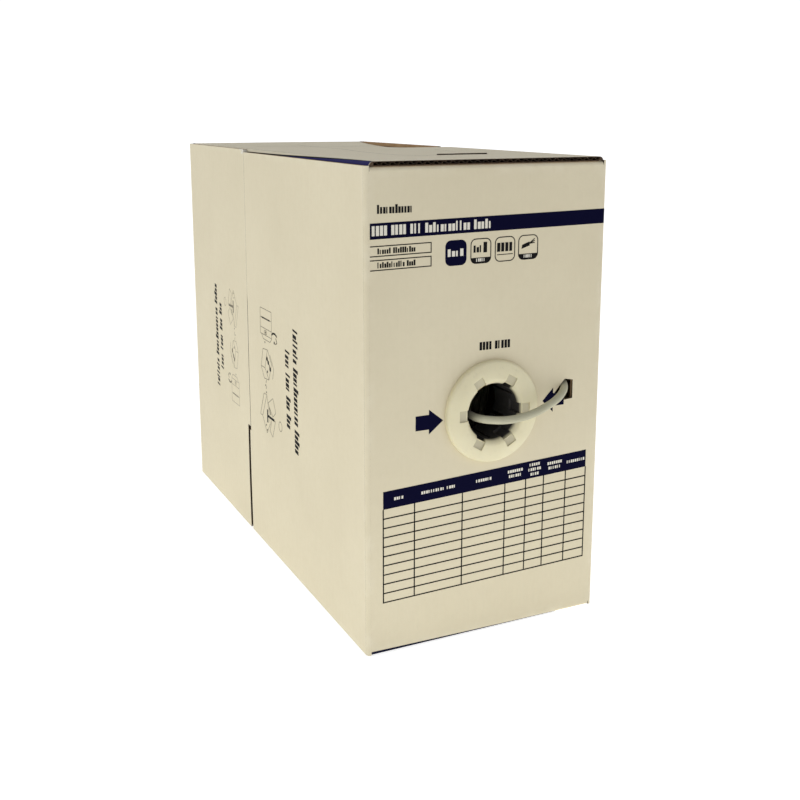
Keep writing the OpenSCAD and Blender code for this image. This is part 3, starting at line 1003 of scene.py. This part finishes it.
def fold_strips():
    """Print and a painted shadow line over the left top fold, painted contact shadow under the front one, and
    print round the right front one.
    """
    r = BOARD_T
    top = Vector((r - WALL_X, FRONT_Y + 1.5 * MM, BOX_H - r))
    length = SEAM_Y - top.y

    def rise(share):
        return WEDGE_RISE * (1 - share)**WEDGE_POWER

    fold_strip("top_fold_ink", top, Y, length, -X, Z, lambda share: (0, rise(share) + WEDGE_LEAST), INDIGO)
    # A painted shadow line along the left top fold, over the top of the print wedge.
    fold_strip("top_fold_painted_shadow", top, Y, length, -X, Z, lambda share: (rise(share), rise(share) + SHADOW_ARC),
             LINE_AND_SHADOW, SHADOW_LIFT)
    # Painted contact shadow over the front's bottom fold, from the left corner, narrowing towards the right.
    fold_strip("foot_fold_painted_shadow", Vector((-WALL_X, FRONT_Y + r, r)), X, FOOT_LEN, -Y, -Z,
             lambda share: (FOOT_FROM * share, FOOT_TO), NAVY_AND_SHADOW)
    low, high = (uphill(BAND[2], v)[1] * MM for v in (BAND[1], BAND[3]))
    corner = Vector((HALF_W - r, FRONT_Y + r, low))
    band = fold_strip("band_fold_ink", corner, Z, high - low, -Y, X, lambda share: (0, FOOT_TO), NAVY_AND_SHADOW,
                    body=None)
    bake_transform(band)


# Torn flakes, in millimetres from the rear flap's upper corner at the seam, and each one's height in inks
FLAKES = ((((-12, 0), (-9, -1.2), (-5, -0.8), (0, -3.2), (0.3, 0)), 4),
          (((-7, -2.4), (-4, -4.4), (0.2, -3.8), (-2, -2)), 5))
TUCKED_FLAKE = (((0, -4.2), (1.6, -2.6), (3.5, -3.4), (3.6, -0.6), (1.5, -0.1), (0, -0.3)), 3)


def torn_liner():
    """Flakes of torn liner where the left seam meets the top, over the rear flap's end."""
    end = SEAM_Y + SEAM_GAP
    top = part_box("left_rear_flap")[1].z / MM
    edge = (REAR_Y - end) / MM
    end_face = make_face((-HALF_W, end, 0), X, Z, (FULL_W, BOX_H))
    spots = (("left_seam_flakes", LEFT, edge, FLAKES), ("left_seam_tuck", end_face, 0, (TUCKED_FLAKE,)))
    for name, face, corner, flakes in spots:
        p = Print()
        for outline, out in flakes:
            p.shape([(corner + u, top + v) for u, v in outline], out)
        p.lay(name, face, PALE, "left_rear_flap")


# ---- collar

def collar_point(r, a, out):
    """A point on the collar from radius, angle and height above the front face, in millimetres."""
    return COLLAR_AT + (turn(X, Z, a) * r - Y * out) * MM


def wedge(a, r0, r1, half, low, high):
    """A closed block on the collar, centred on angle a."""
    bm = bmesh.new()
    out, across = turn(X, Z, a), turn(Z, -X, a)
    join_rings(bm, [[COLLAR_AT + (out * r + across * side - Y * level) * MM
                     for r, side in box_outline(r0, r1, -half, half)] for level in (low, high)])
    return put("cutter", bm, [COLLAR], None)


def collar():
    neck = NECK_LEN / MM
    profile = [(BORE_R, -neck), (BORE_R, -16), (BORE_R, -4)]
    profile += arc(BORE_R + BELL_R, PROUD - BELL_R, BELL_R, 180, 90, 10)
    profile += [(31, PROUD - 0.15), (35, PROUD - 0.8)]
    profile += arc(COLLAR_R - RIM_R, CROWN - RIM_R, RIM_R, 78, 0, 8)
    profile += [(COLLAR_R, 0.02), (NECK_R, 0.02), (NECK_R, -neck)]
    bm = bmesh.new()
    count = 144
    join_rings(bm, [[collar_point(r, math.tau * k / count, z) for r, z in profile]
                    for k in range(count)], True)
    made = put("payout_collar_body", bm, [COLLAR], None)
    cutters = []
    for k in range(FINGERS):
        a = math.tau * k / FINGERS
        for r0, r1, floor in (SHELF, NOTCH):
            cutters.append(wedge(a, r0, r1, WINDOW_W / 2, floor, PROUD + 2))
        between = a + math.pi / FINGERS
        cutters.append(wedge(between, BORE_R - 2, NECK_R + 2, SLIT_W / 2, -neck - 1, -SLIT_ROOT))
    cut([made], cutters)
    soften = made.modifiers.new("bevel", "BEVEL")
    soften.width, soften.segments, soften.limit_method = 0.4 * MM, 3, "ANGLE"
    soften.angle_limit = math.radians(40)
    apply_modifiers(made)
    smooth(made)
    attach(made, "carton")
    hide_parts("payout_collar")
    barbs()


def barbs():
    """The barbs behind the board, one on each finger."""
    bm = bmesh.new()
    board, half = BOARD_T / MM, 4 / NECK_R
    outline = [(NECK_R - 0.4, -board - 0.4), (NECK_R + 3, -board - 0.4), (NECK_R + 3, -board - 1.4),
               (NECK_R - 0.4, -board - 6.4)]
    for k in range(FINGERS):
        middle = math.tau * k / FINGERS
        join_rings(bm, [[collar_point(r, middle + half * (s / 3 - 1), z) for r, z in outline]
                        for s in range(7)])
    put("payout_collar_barbs", bm, [COLLAR], "carton")


# ---- cable

CABLE_D = 6.2 * MM
TAIL_ROUTE = [
    (-26, -48, 316), (-25, -64, 303), (-24, -80, 290), (-23, -96, 277),
    (-22, -112, 264), (-21, -128, 251), (-20, -144, 238), (-18.5, -160, 225.5),
    (-17, -175, 214), (-16, -189, 204), (-15.5, -201, 196), (-15.5, -212, 189),
    (-15.8, -222, 185), (-14.8, -232, 182.5), (-11, -241, 181.3), (-4, -248.3, 181),
    (6, -253.2, 181), (18, -255, 182), (30, -254.8, 184), (42, -252.8, 187),
    (53, -249.4, 190), (62, -244.5, 193), (68.8, -238.2, 195.7), (73.3, -230.5, 198),
    (76, -221.5, 200), (77.5, -212, 201.5)]


def cable_tail():
    """The free cable from the winding to the tuck hole."""
    route = [Vector(place) * MM for place in TAIL_ROUTE]
    data = bpy.data.curves.new("cable_tail_line", "CURVE")
    data.dimensions = "3D"
    line = data.splines.new("BEZIER")
    line.bezier_points.add(len(route) - 1)
    for point, place in zip(line.bezier_points, route):
        point.co = place
        point.handle_left_type = point.handle_right_type = "AUTO"
    line.resolution_u = 6
    data.bevel_depth = CABLE_D / 2
    data.bevel_resolution = 6
    data.use_fill_caps = True
    data.materials.append(JACKET)
    made = new_object("cable_tail_line", data)
    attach(made, "carton")
    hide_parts("cable_tail")


# ---- reel


def winding():
    """The cable on the reel: its outer layer in turns, over a plain roll."""
    lo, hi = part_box("cable_winding")
    axle = Vector((0, (lo.y + hi.y) / 2, (lo.z + hi.z) / 2))
    outer, r = (hi.z - lo.z) / 2, CABLE_D / 2
    core = (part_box("reel_core")[1].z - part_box("reel_core")[0].z) / 2 + 0.3 * MM
    turns = int((hi.x - lo.x) / CABLE_D)
    pitch = (hi.x - lo.x - CABLE_D) / turns
    steps, sides, roll_sides = 60, 8, 72
    bm = bmesh.new()
    rings = []
    for k in range(turns * steps + 1):
        out = turn(Y, Z, math.tau * k / steps)
        middle = axle + X * (lo.x + r + pitch * k / steps) + out * (outer - r)
        rings.append([middle + turn(out, X, math.tau * j / sides) * r * 0.99 for j in range(sides)])
    join_rings(bm, rings)
    ways = [turn(Y, Z, math.tau * k / roll_sides) for k in range(roll_sides)]
    section = box_outline(lo.x, hi.x, core, outer - 1.6 * r)
    join_rings(bm, [[axle + X * x + way * radius for x, radius in section] for way in ways], True)
    made = put("cable_winding_turns", bm, [JACKET], "reel")
    smooth(made)
    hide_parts("cable_winding")


def inside_materials():
    """Materials for the CAD nodes that show as they are, by the starts of their names."""
    starts = {"reel_flange": FIBREBOARD, "reel_core": TUBE, "axle_tube": TUBE, "hub_bush": BUSH,
              "axle_washer": NYLON, "tie_": ZINC}
    for name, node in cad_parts.items():
        for start, material in starts.items():
            if name.startswith(start):
                for slot in node.material_slots:
                    slot.material = material


# ---- stage

# Each lamp's name, place, size, power and colour
LAMPS = (("key", (-1.7, -0.3, 0.7), 1.2, 2.6, (1.0, 0.99, 0.93)),
         ("fill", (0.9, -1.9, 0.5), 1.4, 1.6, (1.0, 0.94, 0.92)))

# Where the floor's glow starts and is full along each axis, and the brighter strip before the front: the glow
# is painted light that lights the box from below
GLOW = (("X", -1.6, -0.5), ("Y", -1.6, -0.5))
STRIP_START, STRIP_FULL, STRIP_FADE, STRIP_END, STRIP_GLOW = -0.5, -0.4, -0.29, -0.26, 0.35


def floor():
    """A pale floor that glows a little, so that it stays white under the box; the glow is painted light that
    also lights the box's lower walls from below.
    """
    bm = bmesh.new()
    bmesh.ops.create_grid(bm, x_segments=1, y_segments=1, size=20)
    s = Shader("floor", 0.9, 0.1)
    s.set("Base Color", s.mix(s.noise(s.where(), 3, 2), (0.60, 0.60, 0.60), (0.63, 0.63, 0.62)))
    s.fix("Emission Color", (1, 1, 0.985, 1))
    where = s.where()
    glow = [s.remap(s.part(where, axis), far, near, 0.3, 0.9) for axis, far, near in GLOW]
    ahead = s.part(where, "Y")
    rising = s.remap(ahead, STRIP_START, STRIP_FULL, 0, STRIP_GLOW)
    strip = s.times(s.remap(ahead, STRIP_END, STRIP_FADE), rising)
    s.set("Emission Strength", s.math("ADD", s.times(*glow), strip))
    put("floor", bm, [s.material], None)


def studio():
    """White surround, dimmer overhead and in front, and two soft lamps."""
    world = bpy.data.worlds.new("studio")
    world.use_nodes = True
    bpy.context.scene.world = world
    w = Nodes(world.node_tree)
    way = w.where("Generated")
    height = w.part(way, "Z")
    rising = w.remap(height, 0.15, 1.0, 1.08, 0.47)
    behind = w.remap(w.part(way, "Y"), -0.6, 0.3, 0.6, 1.0)
    back = w.nodes["Background"]
    w.links.new(w.mix(w.remap(height, 0.2, 1.0), (1, 1, 0.99), (0.88, 0.90, 1.0)), back.inputs["Color"])
    w.links.new(w.times(rising, behind), back.inputs["Strength"])
    bpy.context.scene.view_settings.view_transform = "Standard"
    for name, place, size, power, colour in LAMPS:
        data = bpy.data.lights.new(name, "AREA")
        data.size, data.energy, data.color = size, power, colour
        lamp = new_object(name, data)
        lamp.location = place
        aim = Vector((0, 0, BOX_H / 2)) - lamp.location
        lamp.rotation_euler = aim.to_track_quat("-Z", "Y").to_euler()


make_camera()
cable_tail()
wall_boards()
inner_boards()
flap_boards()
static_folds()
hinge_folds()
front_navy()
front_lines()
front_pale()
side_print()
top_creases()
fold_strips()
torn_liner()
collar()
winding()
inside_materials()
floor()
studio()
